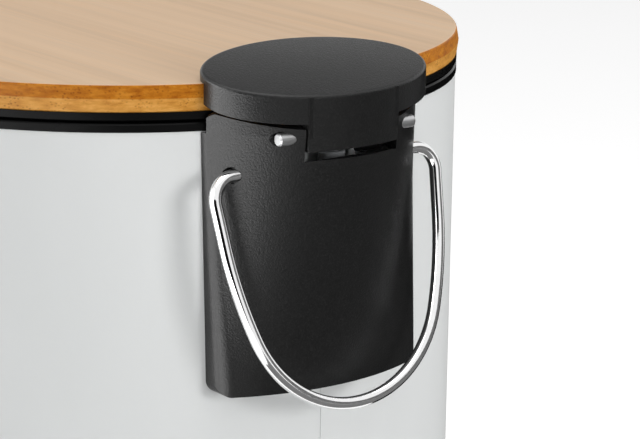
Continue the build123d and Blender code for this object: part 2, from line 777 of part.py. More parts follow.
# Screws through plate and body into the housing
with BuildPart() as housing_screws:
    for x in (-housing_screw_x, housing_screw_x):
        for level in housing_screw_levels:
            with BuildSketch(Plane.XZ.offset(-screw_seat)):
                with Locations((x, body_top + level)):
                    Circle(housing_screw_radius)
            extrude(amount=-housing_screw_length)
            with BuildSketch(Plane.XZ.offset(-screw_seat)):
                with Locations((x, body_top + level)):
                    Circle(housing_screw_head)
            extrude(amount=housing_screw_head_height, taper=12)
save(housing_screws, "housing_screws")

# Hinge pin
with BuildPart() as hinge_pin:
    with BuildSketch(Plane.YZ.offset(-pin_half)):
        with Locations((pin_y, pin_z)):
            Circle(pin_radius)
    extrude(amount=2 * pin_half)
    chamfer(hinge_pin.edges().filter_by(GeomType.CIRCLE), 0.3)
save(hinge_pin, "hinge_pin")

# Damper: a closed cylinder with a thin plunger
with BuildPart() as damper_cylinder:
    with BuildSketch(Plane.XY.offset(damper_top - damper_length)):
        with Locations((0, damper_y)):
            Circle(damper_radius)
    extrude(amount=damper_length)
    fillet(damper_cylinder.edges().group_by(Axis.Z)[-1], 0.5)
    with BuildSketch(Plane.XY.offset(plunger_top - plunger_length - 1)):
        with Locations((0, damper_y)):
            Circle(plunger_radius + run_gap)
    extrude(amount=plunger_length + 4, mode=Mode.SUBTRACT)
save(damper_cylinder, "damper_cylinder")

with BuildPart() as damper_rod:
    with BuildSketch(Plane.XY.offset(plunger_top - plunger_length)):
        with Locations((0, damper_y)):
            Circle(plunger_radius)
    extrude(amount=plunger_length)
    with BuildSketch(Plane.XY.offset(plunger_top)):
        with Locations((0, damper_y)):
            Circle(plunger_head_radius)
    extrude(amount=-plunger_head)
    chamfer(damper_rod.edges().group_by(Axis.Z)[-1], 0.2)
save(damper_rod, "damper_rod")

# Cradle that the damper stands in
with BuildPart() as damper_cradle:
    cradle_bottom = damper_top - damper_length - cradle_floor
    with BuildSketch(Plane.XY.offset(cradle_bottom)):
        with Locations((0, body_radius - 1)):
            Rectangle(2 * cradle_half, damper_y + damper_radius + cradle_wall - body_radius + 1,
                      align=(Align.CENTER, Align.MIN))
        Circle(body_radius + fit_gap, mode=Mode.SUBTRACT)
    extrude(amount=cradle_height)
    with BuildSketch(Plane.XY.offset(cradle_bottom + cradle_floor)):
        with Locations((0, damper_y)):
            Circle(damper_radius + fit_gap)
    extrude(amount=cradle_height, mode=Mode.SUBTRACT)
save(damper_cradle, "damper_cradle")

# Lower bamboo ply
with BuildPart() as lid_bottom_ply:
    with BuildSketch(Plane.XZ):
        with BuildLine():
            Polyline(
                (0, bamboo_bottom),
                (collar_radius - 0.3, bamboo_bottom),
                (collar_radius, bamboo_bottom + 0.3),
                (lid_waist_radius, bamboo_middle),
                (0, bamboo_middle),
                close=True,
            )
        make_face()
    revolve(axis=Axis.Z)
    with BuildSketch(Plane.XY.offset(bamboo_bottom)):
        with Locations(*cap_screw_places):
            Circle(cap_screw_head + fit_gap)
    extrude(amount=cap_screw_head_height, mode=Mode.SUBTRACT)
    with BuildSketch(Plane.XY.offset(bamboo_bottom)):
        with Locations(*cap_screw_places):
            Circle(cap_screw_radius + fit_gap)
        with Locations(*polar_places(rim_screw_count, rim_screw_ring, 30)):
            Circle(rim_screw_radius + fit_gap)
    extrude(amount=ply, mode=Mode.SUBTRACT)
save(lid_bottom_ply, "lid_bottom_ply")

# Upper bamboo ply, its edge leaning in to the rounded top
with BuildPart() as lid_top_ply:
    with BuildSketch(Plane.XZ) as upper:
        with BuildLine():
            Polyline(
                (0, bamboo_middle),
                (lid_waist_radius, bamboo_middle),
                (body_radius, bamboo_top),
                (0, bamboo_top),
                close=True,
            )
        make_face()
        fillet(upper.vertices().group_by(Axis.X)[-2], lid_edge_round)
    revolve(axis=Axis.Z)
    with BuildSketch(Plane.XY.offset(bamboo_middle)):
        with Locations(*cap_screw_places):
            Circle(cap_screw_radius + fit_gap)
    extrude(amount=ply, mode=Mode.SUBTRACT)
    rim_screw_top = lid_bottom + rim_screw_length
    with BuildSketch(Plane.XY.offset(bamboo_middle)):
        with Locations(*polar_places(rim_screw_count, rim_screw_ring, 30)):
            Circle(rim_screw_radius + fit_gap)
    extrude(amount=max(rim_screw_top - bamboo_middle, 0.1), mode=Mode.SUBTRACT)
save(lid_top_ply, "lid_top_ply")

# Plastic rim under the bamboo
with BuildPart() as lid_rim:
    with BuildSketch(Plane.XZ):
        with BuildLine():
            Polyline(
                (collar_radius, lid_bottom + 0.3),
                (collar_radius, bamboo_bottom),
                (lid_rim_bore, bamboo_bottom),
                (lid_rim_bore, lid_bottom - lid_lip_depth),
                (lid_rim_bore + lid_lip_wall, lid_bottom - lid_lip_depth),
                (lid_rim_bore + lid_lip_wall, lid_bottom),
                (collar_radius - 0.3, lid_bottom),
                close=True,
            )
        make_face()
    revolve(axis=Axis.Z)
    with BuildSketch(Plane.XY.offset(lid_bottom)):
        with Locations(*polar_places(bumper_count, bumper_ring, 180)):
            Circle(bumper_radius + fit_gap)
    extrude(amount=bumper_pocket, mode=Mode.SUBTRACT)
    with BuildSketch(Plane.XY.offset(lid_bottom)):
        with Locations(*polar_places(rim_screw_count, rim_screw_ring, 30)):
            Circle(rim_screw_head + fit_gap)
    extrude(amount=rim_screw_head_height, mode=Mode.SUBTRACT)
    with BuildSketch(Plane.XY.offset(lid_bottom)):
        with Locations(*polar_places(rim_screw_count, rim_screw_ring, 30)):
            Circle(rim_screw_radius + fit_gap)
    extrude(amount=lid_rim_height, mode=Mode.SUBTRACT)
save(lid_rim, "lid_rim")

# Soft pads that the closed lid lies on
with BuildPart() as lid_bumpers:
    with BuildSketch(Plane.XY.offset(lid_bottom - bumper_proud)):
        with Locations(*polar_places(bumper_count, bumper_ring, 180)):
            Circle(bumper_radius)
    extrude(amount=bumper_pocket + bumper_proud)
save(lid_bumpers, "lid_bumpers")

# Screws that hold the rim to the bamboo
with BuildPart() as lid_rim_screws:
    for place in polar_places(rim_screw_count, rim_screw_ring, 30):
        with BuildSketch(Plane.XY.offset(lid_bottom)):
            with Locations(place):
                Circle(rim_screw_head)
        extrude(amount=rim_screw_head_height)
        with BuildSketch(Plane.XY.offset(lid_bottom + rim_screw_head_height)):
            with Locations(place):
                Circle(rim_screw_radius)
        extrude(amount=rim_screw_length - rim_screw_head_height)
save(lid_rim_screws, "lid_rim_screws")

# Screws up through the bamboo into the cap
with BuildPart() as lid_screws:
    for place in cap_screw_places:
        with BuildSketch(Plane.XY.offset(bamboo_bottom)):
            with Locations(place):
                Circle(cap_screw_head)
        extrude(amount=cap_screw_head_height)
        with BuildSketch(Plane.XY.offset(bamboo_bottom + cap_screw_head_height)):
            with Locations(place):
                Circle(cap_screw_radius)
        extrude(amount=2 * ply - cap_screw_head_height + cap_screw_bite - 0.2)
save(lid_screws, "lid_screws")


def cam_point(base, drop, turn):
    """Point of a cam that lifts a flat follower by `base` for each radian, from the pin."""
    height = drop - base * turn
    return (height * sin(turn) - base * cos(turn), -base * sin(turn) - height * cos(turn))


def cam_web(x, base, drop, clear_to):
    """Outline of the web that carries a cam, whose follower ends `clear_to` short of the pin."""
    steps = 5
    curve = [cam_point(base, drop, lid_turn * i / steps) for i in range(steps + 1)]
    tip_radius = sqrt(base**2 + drop**2)
    left = drop - base * lid_turn
    heel_y = left * sin(lid_turn) - clear_to * cos(lid_turn)
    heel_z = -clear_to * sin(lid_turn) - left * cos(lid_turn)
    front = base + 1.8
    shoulder = sqrt(tip_radius**2 - front**2)
    plate_front = cap_rim_over - pin_over_rim - (pin_y - front - cap_y) * tan(radians(cap_slope)) - 1.0
    rear = cap_rear - cap_wall - pin_y + 0.3
    plate_rear = cap_rim_over - pin_over_rim - (pin_y + rear - cap_y) * tan(radians(cap_slope)) - 1.0
    side = Plane(origin=(x - cam_width / 2, pin_y, pin_z), x_dir=(0, 1, 0), z_dir=(1, 0, 0))
    with BuildSketch(side) as web:
        with BuildLine():
            Spline(*curve)
            Polyline(curve[-1], (heel_y, heel_z), (rear, heel_z), (rear, plate_rear), (-front, plate_front),
                     (-front, shoulder))
            ThreePointArc((-front, shoulder), (-tip_radius, 0), curve[0])
        make_face()
    return web.sketch


# Space inside the cap, less the bosses over the lid's screws
with BuildPart() as cap_space:
    with BuildSketch(Plane.XY.offset(body_top - 20)):
        with Locations((0, cap_y)):
            Ellipse(cap_a - cap_wall, cap_b - cap_wall)
    extrude(amount=60)
    with BuildSketch(rim_plane.offset(-cap_plate)):
        Rectangle(reach, reach)
    extrude(amount=reach / 2, mode=Mode.SUBTRACT)
    with BuildSketch(Plane.XY.offset(bamboo_top)):
        with Locations(*cap_screw_places):
            Circle(cap_boss_radius)
    extrude(amount=reach / 2, mode=Mode.SUBTRACT)

# Hinge cap: oval top sloping to the rear, skirt behind the bamboo, tongue and cams on the pin
with BuildPart() as hinge_cap:
    low = body_top - 14.0
    with BuildSketch(Plane.XY.offset(low)):
        with Locations((0, cap_y)):
            Ellipse(cap_a, cap_b)
    extrude(amount=40)
    with BuildSketch(rim_plane):
        Rectangle(reach, reach)
    extrude(amount=reach / 2, mode=Mode.SUBTRACT)
    rim_edge = hinge_cap.edges().group_by(Axis.Z)[-1]
    fillet(rim_edge, cap_edge_round)
    with BuildSketch(skirt_plane):
        Rectangle(reach, reach)
        Rectangle(2 * tongue_half, reach, mode=Mode.SUBTRACT)
    extrude(amount=-reach / 2, mode=Mode.SUBTRACT)
    with BuildSketch(Plane.XY.offset(body_top + tongue_over_rim)):
        Rectangle(reach, 4 * body_radius)
    extrude(amount=-reach / 2, mode=Mode.SUBTRACT)
    add(cap_space.part, mode=Mode.SUBTRACT)
    # room for the bamboo and the rim below it
    with BuildSketch(Plane.XY.offset(low)):
        Circle(lid_waist_radius + fit_gap)
    extrude(amount=bamboo_top - low, mode=Mode.SUBTRACT)
    # hub on the pin, with its webs and cams
    with BuildSketch(Plane.YZ.offset(-tongue_half)):
        with Locations((pin_y, pin_z)):
            Circle(hub_radius)
    extrude(amount=2 * tongue_half)
    web_top = cap_rim_over - pin_over_rim - (pin_y - cap_y) * tan(radians(cap_slope)) - 1.0
    for x in (-tongue_half, tongue_half - hub_end_web):
        with BuildSketch(Plane.YZ.offset(x)):
            with Locations((pin_y - hub_radius, pin_z)):
                Rectangle(cap_rear - cap_wall + 0.3 - pin_y + hub_radius, web_top,
                          align=(Align.MIN, Align.MIN))
        extrude(amount=hub_end_web)
    rod_end = rod_cam_radius - rod_radius - body_gap
    extrude(to_extrude=cam_web(rod_x, rod_cam_radius, rod_cam_drop, rod_end), amount=cam_width)
    extrude(to_extrude=cam_web(0, damper_cam_radius, damper_cam_drop, hub_radius), amount=cam_width)
    with BuildSketch(Plane.YZ.offset(-tongue_half - 1)):
        with Locations((pin_y, pin_z)):
            Circle(pin_radius + run_gap)
    extrude(amount=2 * tongue_half + 2, mode=Mode.SUBTRACT)
    with BuildSketch(Plane.XY.offset(bamboo_top)):
        with Locations(*cap_screw_places):
            Circle(cap_screw_radius + fit_gap)
    extrude(amount=cap_screw_bite, mode=Mode.SUBTRACT)
save(hinge_cap, "hinge_cap")

# Carry handle: one bent wire with splayed legs and a rounded bottom
with BuildPart() as carry_handle:
    with BuildLine(bail_plane) as bail_path:
        bottom = JernArc((0, -bail_drop), (1, 0), bail_bottom_radius, bail_bottom_turn)
        flank = JernArc(bottom @ 1, bottom % 1, bail_side_radius, side_turn)
        leg = Line(flank @ 1, (flank @ 1) + (flank % 1) * leg_length)
        corner = JernArc(leg @ 1, leg % 1, bail_corner, 90 + bail_splay)
        Line(corner @ 1, (bail_end_x, 0))
        mirror(about=Plane.YZ)
    with BuildSketch(Plane(origin=bail_plane.from_local_coords((bail_end_x, 0, 0)), z_dir=(1, 0, 0))):
        Circle(wire_radius)
    sweep(path=bail_path.wires()[0])
save(carry_handle, "carry_handle")

# Retaining rings on the handle's ends, inside the housing
with BuildPart() as handle_retainers:
    for side in (-1, 1):
        with BuildSketch(Plane.YZ.offset(side * retainer_x)):
            with Locations((bail_y, bail_z)):
                Circle(retainer_radius)
                Circle(wire_radius + fit_gap, mode=Mode.SUBTRACT)
        extrude(amount=side * retainer_thickness)
save(handle_retainers, "handle_retainers")

# Inner bucket: tapered, with a flanged mouth and two ears
with BuildPart() as inner_bucket:
    rim_under = body_top - ledge_depth + body_gap
    rim_over = rim_under + bucket_rim_thickness
    with BuildSketch(Plane.XZ) as bucket_half:
        with BuildLine():
            Polyline(
                (0, bucket_bottom),
                (bucket_foot_radius, bucket_bottom),
                (bucket_mouth_radius, rim_under),
                (bucket_rim_radius, rim_under),
                (bucket_rim_radius, rim_over),
                (bucket_mouth_radius - bucket_wall, rim_over),
                (bucket_foot_radius - bucket_wall, bucket_bottom + bucket_wall),
                (0, bucket_bottom + bucket_wall),
                close=True,
            )
        make_face()
        for radius, corner in ((bucket_foot_radius, bucket_corner),
                               (bucket_foot_radius - bucket_wall, bucket_corner - bucket_wall)):
            heel = bucket_half.vertices().filter_by_position(Axis.X, radius - 0.1, radius + 0.1)
            fillet(heel, corner)
    revolve(axis=Axis.Z)
    handle_z = rim_over + bucket_wire + body_gap
    for side in (-1, 1):
        with BuildSketch(Plane.YZ.offset(side * ear_inner)) as ear:
            with Locations((0, rim_over + ear_height / 2)):
                Rectangle(2 * ear_half, ear_height)
            fillet(ear.vertices().group_by(Axis.Y)[-1], 2.0)
            with Locations((0, handle_z)):
                Circle(bucket_wire + run_gap, mode=Mode.SUBTRACT)
        extrude(amount=side * ear_thickness)
save(inner_bucket, "inner_bucket")

# Bucket's wire handle, lying on the mouth
with BuildPart() as bucket_handle:
    tip = ear_inner + ear_thickness + 0.5
    bend = handle_sweep_radius + handle_corner
    with BuildLine(Plane.XY.offset(handle_z)) as handle_path:
        Line((tip, 0), (bend, 0))
        JernArc((bend, 0), (-1, 0), handle_corner, 90)
        CenterArc((0, -handle_corner), handle_sweep_radius, 0, -180)
        JernArc((-handle_sweep_radius, -handle_corner), (0, 1), handle_corner, 90)
        Line((-bend, 0), (-tip, 0))
    with BuildSketch(Plane(origin=(tip, 0, handle_z), z_dir=(1, 0, 0))):
        Circle(bucket_wire)
    sweep(path=handle_path.wires()[0])
save(bucket_handle, "bucket_handle")
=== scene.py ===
import json
import math

import bmesh
import bpy
from mathutils import Matrix, Vector


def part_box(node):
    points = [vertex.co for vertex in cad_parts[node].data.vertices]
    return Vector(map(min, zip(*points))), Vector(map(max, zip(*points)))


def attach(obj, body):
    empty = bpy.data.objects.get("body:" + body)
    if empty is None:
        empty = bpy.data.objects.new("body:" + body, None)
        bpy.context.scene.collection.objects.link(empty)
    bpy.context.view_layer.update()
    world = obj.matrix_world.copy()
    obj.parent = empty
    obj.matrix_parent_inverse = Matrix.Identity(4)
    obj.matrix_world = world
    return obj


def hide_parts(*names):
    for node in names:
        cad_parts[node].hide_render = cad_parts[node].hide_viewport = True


# Looks of a small pedal bin: white powder-coated body, bamboo lid, black hinge housing and chrome bail.
# Lengths are in metres. The floor is z = 0, the hinge is on +Y and the pedal on -Y.

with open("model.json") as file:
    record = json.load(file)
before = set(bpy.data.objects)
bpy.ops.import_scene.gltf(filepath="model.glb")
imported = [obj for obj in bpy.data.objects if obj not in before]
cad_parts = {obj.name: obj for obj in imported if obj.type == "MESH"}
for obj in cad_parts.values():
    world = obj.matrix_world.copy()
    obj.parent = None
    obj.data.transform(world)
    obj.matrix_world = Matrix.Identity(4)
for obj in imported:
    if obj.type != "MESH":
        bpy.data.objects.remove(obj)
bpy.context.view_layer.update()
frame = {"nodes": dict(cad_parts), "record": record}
scene = bpy.context.scene
scene.view_settings.view_transform = "Standard"

MM = 0.001

# Camera, fitted to the photograph
LENS = 146.25
SENSOR = 36.0
NEAREST, FARTHEST = 0.05, 50.0
CAMERA_PLACE = Vector((354.29, 554.93, 365.29)) * MM
CAMERA_RIGHT = Vector((-0.80076, 0.59884, 0.01336))
CAMERA_UP = Vector((-0.13862, -0.20695, 0.96848))

# Places read from the fixed frame
BODY_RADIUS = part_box("body_shell")[1].x
PLY_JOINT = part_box("lid_bottom_ply")[1].z
HOUSING_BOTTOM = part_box("hinge_housing")[0].z
CAP_LOW, CAP_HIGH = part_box("hinge_cap")
HANDLE_PIVOT = Vector(next(joint["pos_m"] for joint in frame["record"]["behaviour"]["joints"]
                           if joint["name"] == "carry_handle_swing"))

# Hinge cap
CAP_HALF_X, CAP_HALF_Y = 30.2 * MM, 16.5 * MM
CAP_CROWN = 0.55 * MM
CAP_TOP_EDGE = 1.0 * MM         # depth of the top's rounded edge, which sinks with the crown
CAP_SHADED_EDGE = 1.6 * MM      # depth to which the shading follows the crown
CAP_SHADED_UPWARD = 0.2         # and how far a normal must point the top's way to follow it
CAP_TOP_UPWARD = 0.9            # the top is the largest face that points up more than this
CAP_TOP_PARALLEL = 0.999        # its other triangles point the same way
CAP_TOP_TOUCH = 0.01 * MM       # and lie no deeper than this

# Cuts that divide the cap's flat top: way across, half size that way, and number of strips
CAP_CUTS = (((1, 0, 0), CAP_HALF_X, 24), ((0, 1, 0), CAP_HALF_Y, 14))
CUT_DISTANCE = 1e-7

# Lower edge of the housing
HOUSING_LONGER = 1.6 * MM
HOUSING_ZONE = 8.0 * MM         # height over the lower edge that stretches

# Carry handle's wire, along its centre line
WIRE_RADIUS = 1.5 * MM
WIRE_SIDES = 48
HANDLE_LEAN = math.radians(14.4)
HANDLE_DROP = 56.5 * MM
LEG_SPLAY = math.radians(5.5)
BOTTOM_BOW, BOTTOM_TURN = 27.5 * MM, math.radians(70.7)
SIDE_BOW = 95.2 * MM
TOP_BEND = 5.6 * MM
WIRE_END = 17.8 * MM            # from the middle to each end
BOTTOM_STEPS, SIDE_STEPS, BEND_STEPS = 40, 30, 24

# Screws and rivets: node, way the head faces, then head radius, head height and shank radius in
# millimetres, whether it has a cross recess and whether it has a head at both ends
DOWN, INWARD = Vector((0, 0, -1)), Vector((0, -1, 0))
FASTENERS = (
    ("base_screws", DOWN, 2.6, 1.4, 1.3, True, False),
    ("bracket_rivets", DOWN, 2.8, 1.2, 1.5, False, True),
    ("lid_rim_screws", DOWN, 2.2, 1.2, 1.2, True, False),
    ("lid_screws", DOWN, 3.0, 1.7, 1.4, True, False),
    ("housing_screws", INWARD, 2.8, 1.8, 1.5, True, False),
)

# Recess in a screw's head, as shares of the head's radius, radius and height
RECESS_LENGTH, RECESS_WIDTH, RECESS_DEPTH = 1.15, 0.22, 1.1

# Joining and shading of meshes, with crease angles in degrees
MERGE_DISTANCE = 0.002 * MM
FASTENER_CREASE, WIRE_CREASE = 40, 50
LID_EDGE_ZONE = 1.5 * MM        # inside the body's radius, where the plies' edge begins
LID_EDGE_STEEP = 0.8            # a face whose normal leans up more than this isn't edge

# Studio: brightness of the surround, then name, place, side, watts and whether reflections see the lamp
SURROUND = 0.36
LAMP_TARGET = Vector((0.0, 0.0, 0.16))
LAMPS = (
    ("key_left", (1.5, 0.0, 0.85), 1.2, 4.8, True),
    ("rear_lamp", (-0.46, 1.70, 0.50), 0.5, 12, False),
    ("overhead", (0.1, 0.2, 1.9), 1.6, 15, True),
)
FLOOR_HALF = 30.0
FLOOR_LEVEL = -0.2 * MM
FLOOR_GLOW = 0.5

# Cards that only reflections see: felt's brightness and glow
CARD_FELTS = {"black": (0.005, 0.0), "grey": (0.22, 0.0), "lit": (0.8, 5.5)}

# Name, place, way it faces, width and depth, felt, and degrees that it is turned about that way
FLAT = (0, 0, 1)
CARDS = (
    ("rear_floor_card", (-0.90, 0.95, 0.004), FLAT, (2.16, 1.6), "grey", 0),
    ("right_floor_card", (-1.1, -0.55, 0.004), FLAT, (1.9, 1.4), "black", 0),
    ("rear_card", (-1.10, 1.20, 0.45), (0.68, -0.73, 0), (1.2, 0.9), "grey", 0),
    ("right_card", (-0.85, -0.70, 0.11), (0.77, 0.64, 0), (1.5, 0.22), "black", 0),
    ("far_card", (-0.90, -1.00, 1.42), (0.56, 0.63, -0.54), (1.8, 0.9), "grey", 0),
    ("camera_floor_card", (0.66, 0.37, 0.005), FLAT, (0.46, 0.75), "lit", -60),
    ("camera_card", (0.82, 0.98, 0.32), (-0.64, -0.77, 0), (1.0, 0.62), "black", 0),
    ("left_card", (1.05, -0.20, 0.45), (-0.98, 0.19, 0), (1.3, 0.9), "lit", 0),
    ("left_floor_card", (0.78, -0.40, 0.005), FLAT, (0.9, 0.6), "lit", 0),
)


def camera():
    """The photograph's camera: a long lens from behind, above and to the bin's left."""
    data = bpy.data.cameras.new("camera")
    data.lens = LENS
    data.sensor_width = SENSOR
    data.clip_start = NEAREST
    data.clip_end = FARTHEST
    eye = bpy.data.objects.new("camera", data)
    scene.collection.objects.link(eye)
    back = CAMERA_RIGHT.cross(CAMERA_UP).normalized()
    up = back.cross(CAMERA_RIGHT).normalized()
    turn = Matrix((CAMERA_RIGHT.normalized(), up, back)).transposed()
    eye.matrix_world = Matrix.Translation(CAMERA_PLACE) @ turn.to_4x4()
    scene.camera = eye


# Materials

class Paint:
    """A node material under construction, with short calls for the nodes used most."""

    def __init__(self, name):
        self.material = bpy.data.materials.new(name)
        self.material.use_nodes = True
        self.nodes = self.material.node_tree.nodes
        self.links = self.material.node_tree.links
        self.shader = self.nodes["Principled BSDF"]
        self.place = self.nodes.new("ShaderNodeTexCoord").outputs["Object"]

    def node(self, kind, inputs=None, **settings):
        made = self.nodes.new(kind)
        for key, value in settings.items():
            setattr(made, key, value)
        for key, value in (inputs or {}).items():
            self.put(made.inputs[key], value)
        return made

    def put(self, socket, value):
        if isinstance(value, bpy.types.NodeSocket):
            self.links.new(value, socket)
        else:
            socket.default_value = value

    def set(self, **values):
        """Values or links for the shader's own sockets."""
        for key, value in values.items():
            self.put(self.shader.inputs[key.replace("_", " ")], value)

    def stretch(self, *scale, shift=(0, 0, 0)):
        """Object coordinates, scaled by one number, or by one for each axis."""
        each_way = scale * 3 if len(scale) == 1 else scale
        mapping = self.node("ShaderNodeMapping", {
            "Vector": self.place, "Scale": each_way, "Location": shift,
        })
        return mapping.outputs["Vector"]

    def noise(self, vector, scale=1.0, detail=3.0, rough=0.5, warp=0.0):
        made = self.node("ShaderNodeTexNoise", {
            "Vector": vector, "Scale": scale, "Detail": detail, "Roughness": rough, "Distortion": warp,
        })
        return made.outputs["Fac"]

    def cells(self, vector, scale):
        made = self.node("ShaderNodeTexVoronoi", {"Vector": vector, "Scale": scale})
        return made.outputs["Distance"]

    def ramp(self, value, *stops):
        """Colour along the given (position, colour) stops."""
        made = self.node("ShaderNodeValToRGB", {"Fac": value})
        band = made.color_ramp
        while len(band.elements) < len(stops):
            band.elements.new(0.5)
        for element, (position, colour) in zip(band.elements, stops):
            element.position = position
            element.color = (*colour, 1.0) if len(colour) == 3 else colour
        return made.outputs["Color"]

    def shade(self, noise, dark, light):
        """Colour that follows a noise over its usual range, which is 0.3 to 0.7."""
        return self.ramp(noise, (0.3, dark), (0.7, light))

    def map(self, value, low, high, to_low, to_high):
        made = self.node("ShaderNodeMapRange", {
            "Value": value, "From Min": low, "From Max": high, "To Min": to_low, "To Max": to_high,
        })
        return made.outputs["Result"]

    def vary(self, noise, low, high):
        """Number that follows a noise over the same range."""
        return self.map(noise, 0.3, 0.7, low, high)

    def mix(self, factor, one, two, blend="MIX"):
        made = self.node("ShaderNodeMix", data_type="RGBA", blend_type=blend)
        self.put(made.inputs[0], factor)
        self.put(made.inputs[6], one)
        self.put(made.inputs[7], two)
        return made.outputs[2]

    def math(self, operation, one, two):
        made = self.node("ShaderNodeMath", operation=operation)
        self.put(made.inputs[0], one)
        self.put(made.inputs[1], two)
        return made.outputs[0]

    def height(self):
        return self.node("ShaderNodeSeparateXYZ", {"Vector": self.place}).outputs["Z"]

    def bump(self, height, strength, distance):
        made = self.node("ShaderNodeBump", {
            "Height": height, "Strength": strength, "Distance": distance,
        })
        self.put(self.shader.inputs["Normal"], made.outputs["Normal"])


def grey(level):
    return (level, level, level, 1.0)


def powder_coat():
    """White paint with a faint orange-peel surface and soft cloudiness."""
    paint = Paint("white_powder_coat")
    cloud = paint.noise(paint.stretch(30, 30, 12), detail=2)
    peel = paint.noise(paint.stretch(900), detail=2)
    paint.set(Base_Color=paint.shade(cloud, (0.700, 0.715, 0.712), (0.735, 0.748, 0.745)))
    paint.set(Roughness=paint.vary(cloud, 0.42, 0.48), Specular_IOR_Level=0.03)
    paint.bump(peel, 0.06, 0.2 * MM)
    return paint.material


def bamboo_faces():
    """Bamboo seen along its strips: fine streaks front to rear, under soft clouds of tone."""
    dark, middle, light = (0.590, 0.395, 0.235), (0.690, 0.470, 0.285), (0.735, 0.512, 0.320)
    paint = Paint("bamboo_face")
    strips = paint.noise(paint.stretch(95, 2.2, 8), detail=5, rough=0.62, warp=0.25)
    fibres = paint.noise(paint.stretch(1500, 14, 60), detail=3, rough=0.6)
    cloud = paint.noise(paint.stretch(9, 5, 5, shift=(3.1, 1.7, 0)), detail=2)
    tone = paint.ramp(strips, (0.32, dark), (0.5, middle), (0.68, light))
    fine = paint.ramp(fibres, (0.30, grey(0.80)), (0.62, grey(1.0)))
    soft = paint.shade(cloud, (0.94, 0.93, 0.92), (1.0, 1.0, 1.0))
    colour = paint.mix(0.55, tone, fine, "MULTIPLY")
    paint.set(Base_Color=paint.mix(0.8, colour, soft, "MULTIPLY"))
    paint.set(Roughness=paint.vary(fibres, 0.42, 0.58))
    paint.bump(fibres, 0.12, 0.2 * MM)
    return paint.material


def bamboo_edge():
    """The lid's edge: a deeper upper ply, a lighter lower ply, and open pores at the strips' ends."""
    upper_tones = (0.32, 0.090, 0.004), (0.45, 0.150, 0.008), (0.56, 0.215, 0.018)
    lower_tones = (0.50, 0.205, 0.028), (0.62, 0.285, 0.050), (0.71, 0.350, 0.080)
    pore = (0.42, 0.30, 0.16)
    soft_joint = 0.12 * MM
    paint = Paint("bamboo_edge")
    pores = paint.cells(paint.stretch(1, 0.35, 1), 1500)
    clusters = paint.noise(paint.stretch(260, 40, 260), detail=3, rough=0.6)
    streaks = paint.noise(paint.stretch(340, 60, 900), detail=4, rough=0.6)
    stops = 0.33, 0.5, 0.68
    upper = paint.ramp(streaks, *zip(stops, upper_tones))
    lower = paint.ramp(streaks, *zip(stops, lower_tones))
    which = paint.map(paint.height(), PLY_JOINT - soft_joint, PLY_JOINT + soft_joint, 0.0, 1.0)
    specks = paint.ramp(pores, (0.18, pore), (0.42, (1.0, 1.0, 1.0)))
    amount = paint.map(clusters, 0.42, 0.62, 0.0, 0.75)
    paint.set(Base_Color=paint.mix(amount, paint.mix(which, lower, upper), specks, "MULTIPLY"))
    paint.set(Roughness=paint.vary(streaks, 0.4, 0.55), Specular_IOR_Level=0.1)
    paint.bump(pores, 0.15, 0.2 * MM)
    return paint.material


def gloss_black():
    """Smooth black moulding with faint flow marks."""
    paint = Paint("gloss_black_moulding")
    flow = paint.noise(paint.stretch(40, 40, 160), detail=2)
    paint.set(Base_Color=paint.shade(flow, grey(0.0018), grey(0.0032)))
    paint.set(Roughness=paint.vary(flow, 0.2, 0.28), Specular_IOR_Level=0.06)
    paint.bump(flow, 0.04, 0.3 * MM)
    return paint.material


def spark_black():
    """Black moulding with a fine spark-eroded texture, a little lighter grey on the grain's high spots."""
    paint = Paint("textured_black_moulding")
    grain = paint.noise(paint.stretch(1), scale=2300, detail=2, rough=0.6)
    wide = paint.noise(paint.stretch(1), scale=55, detail=3)
    speck = paint.ramp(grain, (0.35, grey(0.0050)), (0.55, grey(0.0070)), (0.72, grey(0.013)))
    cloud = paint.shade(wide, grey(0.86), grey(1.0))
    paint.set(Base_Color=paint.mix(1.0, speck, cloud, "MULTIPLY"))
    paint.set(Roughness=paint.vary(grain, 0.28, 0.40), Specular_IOR_Level=0.36)
    paint.bump(grain, 0.35, 0.25 * MM)
    return paint.material


def chrome():
    """Bright plating on drawn wire, with faint draw lines."""
    paint = Paint("chrome_plating")
    lines = paint.noise(paint.stretch(600), detail=2)
    paint.set(Base_Color=paint.shade(lines, grey(0.86), grey(0.9)), Metallic=1.0)
    paint.set(Roughness=paint.vary(lines, 0.05, 0.09))
    paint.bump(lines, 0.03, 0.1 * MM)
    return paint.material


def plated_steel():
    """Zinc plate: cloudy crystals and a soft shine."""
    tone = 0.55
    paint = Paint("zinc_plated_steel")
    crystals = paint.cells(paint.stretch(1), 260)
    cloud = paint.noise(paint.stretch(60), detail=3)
    bluish = (tone * 0.88, tone * 0.9, tone * 0.92)
    paint.set(Base_Color=paint.shade(cloud, bluish, grey(tone)), Metallic=1.0)
    paint.set(Roughness=paint.map(crystals, 0.0, 0.6, 0.24, 0.40))
    paint.bump(crystals, 0.05, 0.1 * MM)
    return paint.material


def plain_moulding(name, colour, rough):
    """Satin plastic with a light surface texture."""
    paint = Paint(name)
    wide = paint.noise(paint.stretch(45), detail=3)
    fine = paint.noise(paint.stretch(1200), detail=2)
    dim = tuple(0.88 * part for part in colour)
    paint.set(Base_Color=paint.shade(wide, dim, colour))
    paint.set(Roughness=paint.vary(wide, rough, rough + 0.08))
    paint.bump(fine, 0.15, 0.2 * MM)
    return paint.material


def card_felt(name, level, glow):
    """Felt of the studio's cards, black, grey or lit."""
    paint = Paint(name)
    felt = paint.noise(paint.stretch(200), detail=2)
    paint.set(Base_Color=paint.shade(felt, grey(0.9 * level), grey(level)))
    paint.set(Roughness=1.0, Specular_IOR_Level=0.0)
    paint.set(Emission_Color=grey(1.0), Emission_Strength=glow)
    return paint.material


